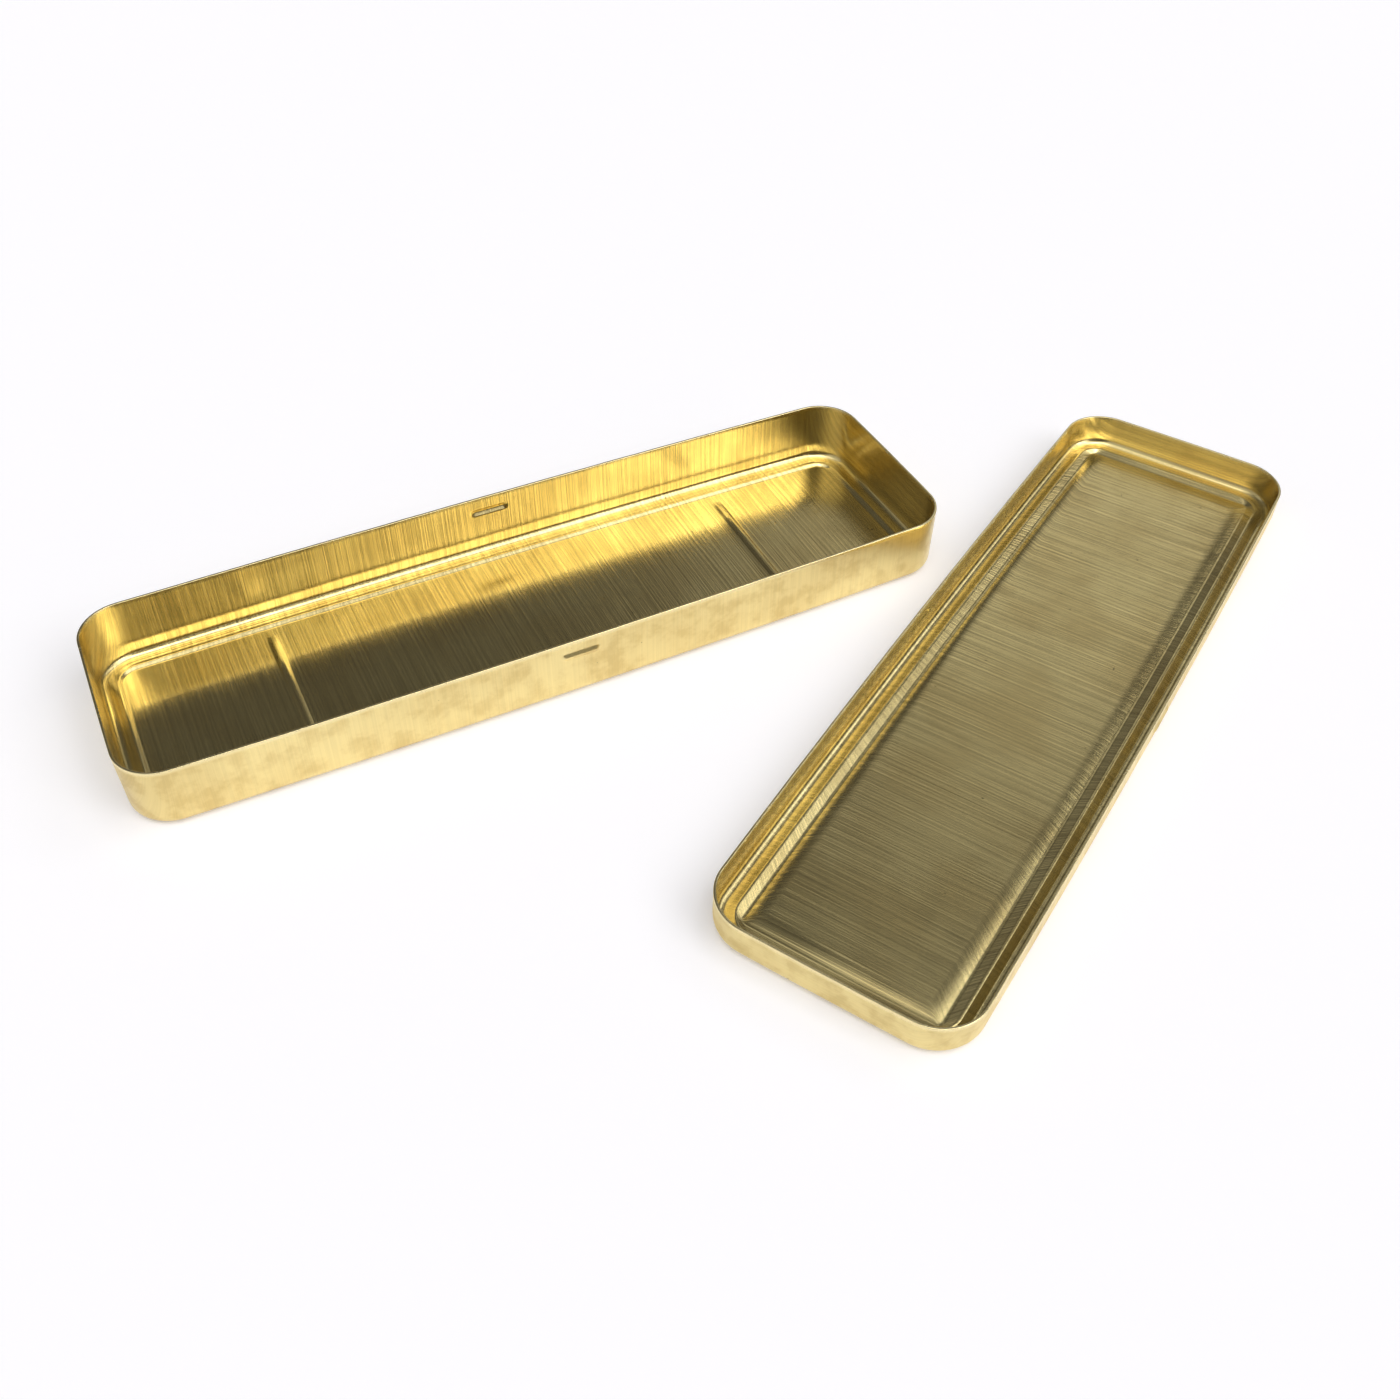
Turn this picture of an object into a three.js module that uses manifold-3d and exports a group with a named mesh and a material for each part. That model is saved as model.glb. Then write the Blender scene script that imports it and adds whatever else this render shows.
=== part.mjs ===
// A two-piece pen box drawn from thin brass sheet: a base tray and a shallower lid that slips over it.
// Both trays have round corners, sides that bow out a little, and a floor panel pressed outwards
// inside a narrow ledge, which climbs from the foot of the walls to a crest at the panel's edge. The
// lid's panel swells again inside its edge, and two beads stiffen the floor of the base. A long
// dimple in the middle of each long side of the base clicks into one in the lid. The lid is off, and
// lies beside the base with its open side up.
// Millimetres, +Z up. The origin is the centre of the base's underside, and +X runs along the base.
import * as THREE from 'three';
import Module from 'manifold-3d';

// The brass sheet, how far its cut edge is broken, and how far its walls lean out, in degrees
const SHEET = 0.5;
const RIM_BREAK = 0.1;
const WALL_LEAN = 0.5;

// The base tray, over the outside of its rim, without the bow of its sides
const BASE_LENGTH = 166;
const BASE_WIDTH = 46.7;
const BASE_DEPTH = 13.8;
const CORNER_RADIUS = 8.2;

// How far the middle of a long side and of an end stand out past their corners
const SIDE_BOW = 0.85;
const END_BOW = 0.2;

// The lid, from the gaps that it keeps to the base when the box is shut
const LID_DEPTH = 7.6;
const LID_SIDE_CLEARANCE = 0.12;
const LID_END_CLEARANCE = 0.6;
const SEAT_GAP = 0.1;

// The round at the foot of the walls, how far it stays above the table, and the ledge inside it
const FOOT_RADIUS = 1.9;
const FOOT_RISE = 0.1;
const LEDGE_WIDTH = 2.0;

// The panel: how far it lies below the crest of the ledge, the shoulder between them, its corners
const BASE_PANEL_DROP = 0.5;
const BASE_SHOULDER_WIDTH = 0.9;
const BASE_PANEL_CORNER = 3.0;
const LID_PANEL_DROP = 0.8;
const LID_SHOULDER_WIDTH = 1.9;
const LID_PANEL_CORNER = 1.0;

// The swell of the lid's panel inside its edge
const LID_SWELL = 0.45;
const LID_SWELL_WIDTH = 5;

// How much of the sheet on each side of a crease its bend takes up
const BEND_REACH = 0.25;

// The two beads across the floor of the base
const BEAD_SPACING = 99;
const BEAD_WIDTH = 2.0;
const BEAD_HEIGHT = 0.35;
const BEAD_END_GAP = 2.6;

// The click dimples, pressed outwards
const DIMPLE_LENGTH = 8.2;
const DIMPLE_WIDTH = 2.5;
const DIMPLE_DEPTH = 0.45;
const DIMPLE_BELOW_RIM = 3.45;

// Where the lid lies on the table, and how far it is turned
const LID_X = 78.5;
const LID_Y = -60.5;
const LID_TURN = 30.75;

// How finely curves are divided
const CORNER_STEPS = 9;
const LONG_SIDE_STEPS = 10;
const END_STEPS = 4;
const FOOT_STEPS = 5;
const BEND_STEPS = 3;
const CAP_STEPS = 6;
const DOME_STEPS = 4;
const DOME_TOP = 0.1;

const BRASS = { color: 0xb89c50, roughness: 0.32, metalness: 1.0 };

const wasm = await Module();
wasm.setup();

const leanPerHeight = Math.tan(THREE.MathUtils.degToRad(WALL_LEAN));
const lidLean = LID_DEPTH * leanPerHeight;
const innerFoot = FOOT_RADIUS - SHEET;
const seatOnFoot = innerFoot - Math.sqrt(innerFoot ** 2 - (innerFoot - LID_SIDE_CLEARANCE) ** 2);

const BASE = {
  name: 'base_tray',
  length: BASE_LENGTH,
  width: BASE_WIDTH,
  depth: BASE_DEPTH,
  radius: CORNER_RADIUS,
  drop: BASE_PANEL_DROP,
  shoulder: BASE_SHOULDER_WIDTH,
  panelCorner: BASE_PANEL_CORNER,
  swell: 0,
  dimpleHeight: BASE_DEPTH - DIMPLE_BELOW_RIM,
};

// The rim of the base stops on the round foot inside the lid, so the lid's dimples are set by it.
const rimInLid = FOOT_RISE + SHEET + seatOnFoot + SEAT_GAP;

const LID = {
  name: 'lid_tray',
  length: BASE_LENGTH + 2 * (SHEET + LID_END_CLEARANCE + lidLean),
  width: BASE_WIDTH + 2 * (SHEET + LID_SIDE_CLEARANCE + lidLean),
  depth: LID_DEPTH,
  radius: CORNER_RADIUS + SHEET + LID_SIDE_CLEARANCE,
  drop: LID_PANEL_DROP,
  shoulder: LID_SHOULDER_WIDTH,
  panelCorner: LID_PANEL_CORNER,
  swell: LID_SWELL,
  dimpleHeight: rimInLid + DIMPLE_BELOW_RIM,
};

// Points from a to b, both left out, on a straight line.
function between(a, b, steps) {
  const points = [];
  for (let i = 1; i < steps; i += 1) points.push(a.clone().lerp(b, i / steps));
  return points;
}

// A quarter circle of points round `centre`, from `start` quarter turns on.
function quarter(centre, radius, start, steps) {
  const points = [];
  for (let i = 0; i <= steps; i += 1) {
    const angle = (start + i / steps) * (Math.PI / 2);
    const spoke = new THREE.Vector2(Math.cos(angle), Math.sin(angle));
    points.push(spoke.multiplyScalar(radius).add(centre));
  }
  return points;
}

// The radius of a tray's corners at `inset`. From the crest down the shoulder it turns into the panel's own.
function cornerRadius(inset, tray) {
  const crest = FOOT_RADIUS + LEDGE_WIDTH;
  const downShoulder = THREE.MathUtils.clamp((inset - crest) / tray.shoulder, 0, 1);
  return THREE.MathUtils.lerp(tray.radius - Math.min(inset, crest), tray.panelCorner, downShoulder);
}

// A rounded rectangle, drawn in from the outside of a tray by `inset` and by the lean of its walls.
function roundedRectangle(tray, inset, lean) {
  const radius = cornerRadius(inset, tray) - lean;
  const x = tray.length / 2 - inset - lean - radius;
  const y = tray.width / 2 - inset - lean - radius;
  const centres = [[x, y], [-x, y], [-x, -y], [x, -y]];
  const corners = centres.map(([cx, cy], i) => quarter(new THREE.Vector2(cx, cy), radius, i, CORNER_STEPS));
  return corners.flatMap((corner, i) => {
    const next = corners[(i + 1) % corners.length];
    const steps = i % 2 === 0 ? LONG_SIDE_STEPS : END_STEPS;
    return [...corner, ...between(corner[corner.length - 1], next[0], steps)];
  });
}

// Bows the sides of a tray's outline: most in their middle, and not at all at their ends.
function bowed(point, tray) {
  const alongLength = point.x / (tray.length / 2);
  const alongWidth = point.y / (tray.width / 2);
  const x = point.x + alongLength * END_BOW * (1 - alongWidth ** 2);
  const y = point.y + alongWidth * SIDE_BOW * (1 - alongLength ** 2);
  return new THREE.Vector2(x, y);
}

// A line through the section's corners with soft bends. A corner is an [inset, height, reach], and its
// bend takes up `reach` of the line on each side. The line runs from the first bend to the last one.
function softened(corners) {
  const places = corners.map(([inset, height]) => new THREE.Vector2(inset, height));
  return corners.slice(1, -1).flatMap(([, , reach], i) => {
    const [before, corner, after] = places.slice(i, i + 3);
    const start = before.clone().sub(corner).setLength(reach).add(corner);
    const end = after.clone().sub(corner).setLength(reach).add(corner);
    return new THREE.QuadraticBezierCurve(start, corner, end).getPoints(BEND_STEPS);
  });
}

// The corners of the section inside the foot: the crease, the crest, the panel's edge and its swell.
function panelCorners(level, tray) {
  const crest = FOOT_RADIUS + LEDGE_WIDTH;
  const edge = crest + tray.shoulder;
  const bottom = level + FOOT_RISE;
  const outside = [
    [FOOT_RADIUS, bottom],
    [FOOT_RADIUS + BEND_REACH, bottom, BEND_REACH],
    [crest, level + tray.drop, BEND_REACH],
    [edge, level, BEND_REACH],
  ];
  const half = LID_SWELL_WIDTH / 2;
  if (tray.swell === 0) return [...outside, [edge + half, level]];
  const top = level + tray.swell;
  return [...outside, [edge + half, top, half - 2 * BEND_REACH], [edge + 2 * half, top]];
}

// One side of the sheet, `inset` from its outside: down the round foot and over the ledge to the panel.
function face(inset, tray) {
  const centre = new THREE.Vector2(FOOT_RADIUS, FOOT_RISE + FOOT_RADIUS);
  const foot = quarter(centre, FOOT_RADIUS - inset, 2, FOOT_STEPS);
  return [...foot.slice(0, -1), ...softened(panelCorners(inset, tray))];
}

// The cut edge of the sheet, with both of its corners broken.
function rim(depth) {
  return [
    new THREE.Vector2(0, depth - RIM_BREAK),
    new THREE.Vector2(RIM_BREAK, depth),
    new THREE.Vector2(SHEET - RIM_BREAK, depth),
    new THREE.Vector2(SHEET, depth - RIM_BREAK),
  ];
}

// A closed solid through a stack of loops with equal counts, with a fan over each end.
function loft(loops) {
  const count = loops[0].length;
  const positions = loops.flat().flatMap((p) => [p.x, p.y, p.z]);
  const bottom = loops.length * count;
  const ends = [loops[0], loops[loops.length - 1]];
  ends.forEach((end) => {
    const middle = end.reduce((sum, p) => sum.add(p), new THREE.Vector3()).divideScalar(count);
    positions.push(middle.x, middle.y, middle.z);
  });
  const last = bottom - count;
  const index = [];
  for (let i = 0; i < count; i += 1) {
    const j = (i + 1) % count;
    index.push(bottom, j, i);
    index.push(bottom + 1, last + i, last + j);
    for (let row = 0; row < last; row += count) {
      index.push(row + i, row + j, row + count + j);
      index.push(row + i, row + count + j, row + count + i);
    }
  }
  const mesh = { numProp: 3, vertProperties: new Float32Array(positions), triVerts: new Uint32Array(index) };
  return new wasm.Manifold(new wasm.Mesh(mesh));
}

// How far the lean of the walls has drawn a tray in at a height below its rim.
function leanAt(height, tray) {
  return (tray.depth - height) * leanPerHeight;
}

// The drawn tray: the sheet's section carried once round the bowed outline.
function drawnTray(tray) {
  const section = [...face(0, tray).reverse(), ...rim(tray.depth), ...face(SHEET, tray)];
  const loops = section.map(({ x: inset, y: height }) => {
    const outline = roundedRectangle(tray, inset, leanAt(height, tray)).map((p) => bowed(p, tray));
    return outline.map((p) => new THREE.Vector3(p.x, p.y, height));
  });
  return loft(loops);
}

// An obround outline of half width `half` whose straight part is `reach` long each way.
function obround(reach, half, height) {
  const right = quarter(new THREE.Vector2(reach, 0), half, -1, CAP_STEPS);
  const rightTop = quarter(new THREE.Vector2(reach, 0), half, 0, CAP_STEPS);
  const left = quarter(new THREE.Vector2(-reach, 0), half, 1, CAP_STEPS);
  const leftBottom = quarter(new THREE.Vector2(-reach, 0), half, 2, CAP_STEPS);
  const outline = [...right, ...rightTop.slice(1), ...left, ...leftBottom.slice(1)];
  return outline.map((p) => new THREE.Vector3(p.x, p.y, height));
}

// A long dome on the XY plane that stands `height` above it and has a straight skirt below it.
function dome(length, width, height, skirt) {
  const reach = (length - width) / 2;
  const loops = [obround(reach, width / 2, -skirt)];
  for (let i = 0; i <= DOME_STEPS; i += 1) {
    const out = 1 - (1 - DOME_TOP) * (i / DOME_STEPS);
    loops.push(obround(reach, (width / 2) * out, height * (1 - out ** 2)));
  }
  return loft(loops);
}

// Presses a dome through the sheet: it stands out of one face and hollows the other behind it.
function pressed(solid, raised, hollow, place) {
  return solid.add(raised.transform(place)).subtract(hollow.transform(place));
}

// The two beads across the floor of the base, raised inside and hollow below.
function withBeads(solid, tray) {
  const panelWidth = tray.width - 2 * (FOOT_RADIUS + LEDGE_WIDTH + tray.shoulder);
  const length = panelWidth - 2 * BEAD_END_GAP;
  const raised = dome(length, BEAD_WIDTH, BEAD_HEIGHT, SHEET / 2).translate([0, 0, SHEET]);
  const hollow = dome(length, BEAD_WIDTH, BEAD_HEIGHT, SHEET);
  return [-1, 1].reduce((result, side) => {
    const place = new THREE.Matrix4().makeRotationZ(Math.PI / 2);
    place.setPosition((side * BEAD_SPACING) / 2, 0, 0);
    return pressed(result, raised, hollow, place.toArray());
  }, solid);
}

// A click dimple in the middle of each long side, hollow inside and raised outside.
function withDimples(solid, tray) {
  const raised = dome(DIMPLE_LENGTH, DIMPLE_WIDTH, DIMPLE_DEPTH, SHEET / 2);
  const hollow = dome(DIMPLE_LENGTH, DIMPLE_WIDTH, DIMPLE_DEPTH, SHEET).translate([0, 0, -SHEET]);
  const wallFace = tray.width / 2 + SIDE_BOW - leanAt(tray.dimpleHeight, tray);
  return [-1, 1].reduce((result, side) => {
    const place = new THREE.Matrix4().makeRotationX((-side * Math.PI) / 2);
    place.setPosition(0, side * wallFace, tray.dimpleHeight);
    return pressed(result, raised, hollow, place.toArray());
  }, solid);
}

function meshOf(solid, name) {
  const data = solid.getMesh();
  const geometry = new THREE.BufferGeometry();
  geometry.setAttribute('position', new THREE.BufferAttribute(data.vertProperties, 3));
  geometry.setIndex(new THREE.BufferAttribute(data.triVerts, 1));
  geometry.computeVertexNormals();
  const mesh = new THREE.Mesh(geometry, new THREE.MeshStandardMaterial(BRASS));
  mesh.name = name;
  return mesh;
}

function baseTray() {
  return meshOf(withDimples(withBeads(drawnTray(BASE), BASE), BASE), BASE.name);
}

function lidTray() {
  return meshOf(withDimples(drawnTray(LID), LID), LID.name);
}

const lidPlace = new THREE.Group();
lidPlace.position.set(LID_X, LID_Y, 0);
lidPlace.rotation.z = THREE.MathUtils.degToRad(LID_TURN);
lidPlace.add(lidTray());

const group = new THREE.Group();
group.add(baseTray(), lidPlace);

export default group;
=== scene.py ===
"""A two-piece pen box of satin brushed sheet brass, open on a pale table.

The box is a base tray and a shallower lid tray that slips over it. Each is one sheet of brass, drawn
into a long tray with round corners, bowed sides and a floor panel that is pressed outwards inside a
narrow ledge. The ledge climbs from the foot of the walls to a crest at the panel's edge. Here each
tray is one fine closed surface: the section of the sheet is carried round the tray's outline, and a
curved patch closes it over the panel, outside and inside. Sizes are in millimetres until the last
step, which puts the surface into the frame in metres.
"""
import logging
import math
from dataclasses import dataclass
from enum import Enum

import bpy
import numpy as np
from mathutils import Matrix, Vector


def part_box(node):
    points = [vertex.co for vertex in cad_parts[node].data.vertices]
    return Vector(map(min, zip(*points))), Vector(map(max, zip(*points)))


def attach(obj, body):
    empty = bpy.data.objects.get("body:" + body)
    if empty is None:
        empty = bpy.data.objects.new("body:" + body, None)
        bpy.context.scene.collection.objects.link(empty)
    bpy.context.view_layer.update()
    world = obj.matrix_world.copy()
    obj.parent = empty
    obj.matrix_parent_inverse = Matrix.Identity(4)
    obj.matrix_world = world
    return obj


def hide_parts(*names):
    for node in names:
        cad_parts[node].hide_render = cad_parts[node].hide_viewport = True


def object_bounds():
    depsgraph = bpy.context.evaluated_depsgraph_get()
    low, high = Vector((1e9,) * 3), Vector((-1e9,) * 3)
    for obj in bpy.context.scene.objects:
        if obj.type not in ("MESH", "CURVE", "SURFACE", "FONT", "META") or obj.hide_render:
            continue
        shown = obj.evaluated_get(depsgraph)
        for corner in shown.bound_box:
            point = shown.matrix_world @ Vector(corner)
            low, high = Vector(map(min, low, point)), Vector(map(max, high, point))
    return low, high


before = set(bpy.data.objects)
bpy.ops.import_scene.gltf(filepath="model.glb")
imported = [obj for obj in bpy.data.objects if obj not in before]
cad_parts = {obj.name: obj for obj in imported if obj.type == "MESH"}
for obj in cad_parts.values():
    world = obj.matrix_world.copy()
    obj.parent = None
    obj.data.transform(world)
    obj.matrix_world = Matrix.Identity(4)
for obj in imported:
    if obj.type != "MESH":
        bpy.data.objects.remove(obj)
CAD_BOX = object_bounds()
log = logging.getLogger("pen_box")

MM = 0.001
FRAME_PIXELS = 1400.0
SPREAD_SAMPLES = 4001
SHEET_MAP = "sheet"
CUT_EDGE = "cut_edge"
INNER_FACE = "inner_face"
BRUSHING = "brushing"
TARNISH = "tarnish"

# A socket is fed a plain value or another node's output.
Socket = bpy.types.NodeSocket
Feed = float | tuple[float, ...] | Socket


def arc(centre: tuple[float, float], radius: float, start: float, end: float, steps: int) -> np.ndarray:
    """Points on a circle: the centre plus the radius times the cosine and sine of an even run of angles.

    Args:
        centre: The middle of the circle.
        radius: Its radius.
        start: The first angle, in degrees.
        end: The last angle, in degrees.
        steps: How many steps lie between them.

    Returns:
        An array of steps + 1 points.
    """
    angle = np.radians(np.linspace(start, end, steps + 1))
    return np.stack((centre[0] + radius * np.cos(angle), centre[1] + radius * np.sin(angle)), axis=1)


def softened(corners: list[tuple[float, float, float]], steps: int) -> np.ndarray:
    """A line with a soft bend at each of its inner corners, from the first bend to the last.

    A bend starts at a point on the line before its corner and ends at one after it, both as far
    away as its reach. In between it is the sum of the first point times the square of one minus
    the way along, the corner times twice the way times one minus the way, and the last point times
    the square of the way.

    Args:
        corners: The line's corners, as distance, height and reach.
        steps: How many steps each bend has.

    Returns:
        The points of all the bends in order.
    """
    given = np.array(corners)
    corner, reach = given[1:-1, :2], given[1:-1, 2:]
    before, after = given[:-2, :2] - corner, given[2:, :2] - corner
    first = corner + reach * before / np.linalg.norm(before, axis=1)[:, None]
    last = corner + reach * after / np.linalg.norm(after, axis=1)[:, None]
    way = np.linspace(0.0, 1.0, steps + 1)[:, None, None]
    bends = (1.0 - way) ** 2 * first + 2.0 * way * (1.0 - way) * corner + way ** 2 * last
    return bends.transpose(1, 0, 2).reshape(-1, 2)


def spread(low: float, high: float, coarse: float, fine: list[tuple[float, float, float]]) -> np.ndarray:
    """Positions that lie closer together in some zones.

    The wanted number of points per millimetre is added up along the line, and the positions are
    where that running total passes whole, even parts of its end value.

    Args:
        low: The first position.
        high: The last position.
        coarse: The spacing outside the zones.
        fine: Zones, each as its middle, its half width and its spacing.

    Returns:
        The positions, with both ends.
    """
    line = np.linspace(low, high, SPREAD_SAMPLES)
    density = np.full(line.shape, 1.0 / coarse)
    for middle, half, spacing in fine:
        density = np.where(np.abs(line - middle) < half, 1.0 / spacing, density)
    total = np.concatenate(([0.0], np.cumsum((density[1:] + density[:-1]) / 2.0 * np.diff(line))))
    count = max(2, 2 * round(total[-1] / 2.0))
    return np.interp(np.linspace(0.0, total[-1], count + 1), total, line)


def quads(first: np.ndarray, second: np.ndarray, third: np.ndarray, fourth: np.ndarray) -> np.ndarray:
    """Faces of four corners, one face for each place in four equal grids of point numbers."""
    return np.stack((first, second, third, fourth), axis=2).reshape(-1, 4)


@dataclass(frozen=True)
class Ridge:
    """A long raised form with round ends, in millimetres."""

    length: float
    width: float
    height: float
    fullness: float

    def rise(self, along: np.ndarray, across: np.ndarray) -> np.ndarray:
        """The height, times one minus a power of the distance from the ridge's middle line.

        The distance is measured in half widths, and past one the ridge is nought. The power is the
        fullness: two makes a dome, and one makes a roof.

        Args:
            along: Positions along the ridge.
            across: Positions across it.

        Returns:
            The rise at each position.
        """
        past_end = np.maximum(np.abs(along) - (self.length - self.width) / 2.0, 0.0)
        distance = np.hypot(past_end, across) / (self.width / 2.0)
        return self.height * np.clip(1.0 - distance ** self.fullness, 0.0, None)


@dataclass(frozen=True)
class Waves:
    """A gentle unevenness: how many waves are mixed, their lengths and their height, in millimetres.

    It fades in over a distance from the edge where it starts, and its waves can be squeezed across.
    """

    count: int
    longest: float
    shortest: float
    height: float
    fade: float
    squeeze: float = 1.0

    def mixed(self, along: np.ndarray, across: np.ndarray, seed: int) -> np.ndarray:
        """Mix cosine waves of seeded lengths, headings and starts.

        Each is the cosine of its start plus its turns per millimetre times the distance along its
        heading. The mix is their mean times the square root of half their number.

        Args:
            along: Positions one way.
            across: Positions the other way.
            seed: Where the random draws start.

        Returns:
            A value from about -1 to 1 at each position.
        """
        draw = np.random.default_rng(seed)
        size = (self.count,) + (1,) * along.ndim
        turns = 2.0 * np.pi / draw.uniform(self.shortest, self.longest, size)
        heading = draw.uniform(0.0, 2.0 * np.pi, size)
        start = draw.uniform(0.0, 2.0 * np.pi, size)
        phase = turns * (along * np.cos(heading) + self.squeeze * across * np.sin(heading)) + start
        return np.cos(phase).mean(axis=0) * math.sqrt(self.count / 2.0)

    def faded(self, distance: np.ndarray) -> np.ndarray:
        """How much of the height is reached at a distance from the edge, from 0 to 1."""
        return np.clip(distance / self.fade, 0.0, 1.0)


class NodeBoard:
    """A shader node tree with short calls to add nodes and to wire them.

    A colour Mix node's own sockets are found by their places, because their names repeat.
    """

    MIX_INPUTS = (0, 6, 7)
    MIX_OUTPUT = 2

    def __init__(self, tree: bpy.types.NodeTree) -> None:
        """Take over a tree."""
        self.tree = tree

    def add(self, kind: str, settings: dict[str, object] | None = None, **inputs: Feed) -> bpy.types.Node:
        """Add a node.

        Args:
            kind: The node's type, without its ShaderNode prefix.
            settings: Properties to set on the node.
            inputs: Values or outputs for its sockets, by socket name with _ for a space.

        Returns:
            The new node.
        """
        node = self.tree.nodes.new("ShaderNode" + kind)
        for name, value in (settings or {}).items():
            setattr(node, name, value)
        for name, value in inputs.items():
            self.feed(node, name.replace("_", " "), value)
        return node

    def feed(self, node: bpy.types.Node, socket: str | int, value: Feed) -> None:
        """Set a socket to a value, or wire it to an output.

        Args:
            node: The node that has the socket.
            socket: The socket's name or place.
            value: A plain value, or another node's output.
        """
        target = node.inputs[socket]
        if isinstance(value, Socket):
            self.tree.links.new(value, target)
        else:
            target.default_value = value

    def math(self, operation: str, first: Feed, second: Feed, clamp: bool = False) -> Socket:
        """Add a Math node.

        Args:
            operation: What it does.
            first: The first value.
            second: The second value.
            clamp: Whether its result is kept between 0 and 1.

        Returns:
            Its output.
        """
        node = self.add("Math", {"operation": operation, "use_clamp": clamp})
        self.feed(node, 0, first)
        self.feed(node, 1, second)
        return node.outputs[0]

    def times(self, first: Feed, second: Feed) -> Socket:
        """Multiply two values and return the output."""
        return self.math("MULTIPLY", first, second)

    def vector_math(self, operation: str, first: Feed, second: Feed, output: str) -> Socket:
        """Add a Vector Math node.

        Args:
            operation: What it does.
            first: The first vector.
            second: The second vector.
            output: Which of its outputs is wanted, Vector or Value.

        Returns:
            That output.
        """
        node = self.add("VectorMath", {"operation": operation})
        self.feed(node, 0, first)
        self.feed(node, 1, second)
        return node.outputs[output]

    def remap(self, value: Feed, span: tuple[float, float], to: tuple[float, float] = (0.0, 1.0)) -> Socket:
        """Map a span of values smoothly onto another.

        Args:
            value: The value to map.
            span: The two values that become the ends of the other span.
            to: The two ends of the other span.

        Returns:
            The mapped value.
        """
        settings = {"interpolation_type": "SMOOTHSTEP"}
        inputs = {"From_Min": span[0], "From_Max": span[1], "To_Min": to[0], "To_Max": to[1]}
        return self.add("MapRange", settings, Value=value, **inputs).outputs[0]

    def blend(self, factor: Feed, first: Feed, second: Feed) -> Socket:
        """Mix two colours.

        Args:
            factor: How much of the second colour there is.
            first: The first colour.
            second: The second colour.

        Returns:
            The mixed colour.
        """
        node = self.add("Mix", {"data_type": "RGBA", "clamp_factor": True})
        for place, value in zip(self.MIX_INPUTS, (factor, first, second)):
            self.feed(node, place, value)
        return node.outputs[self.MIX_OUTPUT]


def effect(name: str, outputs: tuple[str, ...]) -> tuple[NodeBoard, Socket, bpy.types.Node]:
    """Start a node group that reads one vector and puts out values.

    Args:
        name: The group's name.
        outputs: The names of its value outputs.

    Returns:
        A board on the group, the vector that comes in and the node that takes the outputs.
    """
    tree = bpy.data.node_groups.new(name, "ShaderNodeTree")
    tree.interface.new_socket("Vector", in_out="INPUT", socket_type="NodeSocketVector")
    for output in outputs:
        tree.interface.new_socket(output, in_out="OUTPUT", socket_type="NodeSocketFloat")
    source = tree.nodes.new("NodeGroupInput")
    sink = tree.nodes.new("NodeGroupOutput")
    return NodeBoard(tree), source.outputs["Vector"], sink


@dataclass(frozen=True)
class Brushing:
    """Brush lines that run straight across the sheet, with their scales per metre along and across it."""

    line_scale: tuple[float, float, float] = (4200.0, 34.0, 1.0)
    line_roughness: float = 0.5
    line_span: tuple[float, float] = (0.3, 0.7)
    streak_scale: tuple[float, float, float] = (1900.0, 18.0, 1.0)
    streak_roughness: float = 0.55
    streak_span: tuple[float, float] = (0.35, 0.65)
    detail: float = 2.0

    def group(self) -> None:
        """Make the node group: fine lines and broader streaks, each from 0 to 1."""
        board, vector, sink = effect(BRUSHING, ("Lines", "Streaks"))
        lines = self.strokes(board, vector, self.line_scale, self.line_roughness)
        streaks = self.strokes(board, vector, self.streak_scale, self.streak_roughness)
        board.feed(sink, "Lines", board.remap(lines, self.line_span))
        board.feed(sink, "Streaks", board.remap(streaks, self.streak_span))

    def strokes(
        self, board: NodeBoard, vector: Socket, scale: tuple[float, float, float], roughness: float
    ) -> Socket:
        """Add flat noise that is drawn out across the sheet.

        Args:
            board: The group's nodes.
            vector: The sheet's own map.
            scale: How many features there are per metre, along and across the sheet.
            roughness: How strong the noise's finer layers are.

        Returns:
            The noise.
        """
        drawn_out = board.vector_math("MULTIPLY", vector, scale, "Vector")
        inputs = {"Scale": 1.0, "Detail": self.detail, "Roughness": roughness}
        return board.add("TexNoise", {"noise_dimensions": "2D"}, Vector=drawn_out, **inputs).outputs[0]


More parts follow.
